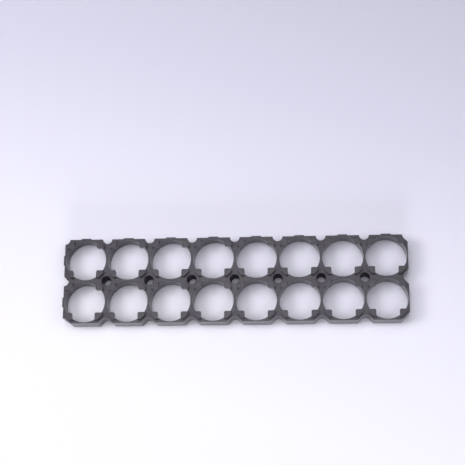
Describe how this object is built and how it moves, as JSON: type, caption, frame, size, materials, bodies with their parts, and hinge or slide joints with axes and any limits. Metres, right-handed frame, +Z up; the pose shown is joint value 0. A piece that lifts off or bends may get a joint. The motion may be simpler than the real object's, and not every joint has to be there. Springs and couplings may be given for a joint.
{
  "type": "battery cell holder bracket",
  "caption": "Flat moulded plastic bracket with two rows of round pockets for cylindrical battery cells, corner tabs that stop the cells, and tie-bolt holes along the middle.",
  "frame": {"origin": "axis of the middle tie-bolt hole, on the face the cells enter from, which the bracket lies on", "axes": "+X along the rows of pockets, +Y across the two rows, away from the viewer, towards the side with spacer pads, +Z up, towards the tabs"},
  "size_m": [0.1565, 0.0395, 0.0104],
  "materials": {
    "bracket_plastic": "satin"
  },
  "bodies": {
    "root": {"cell_holder_bracket": "bracket_plastic"}
  },
  "joints": []
}
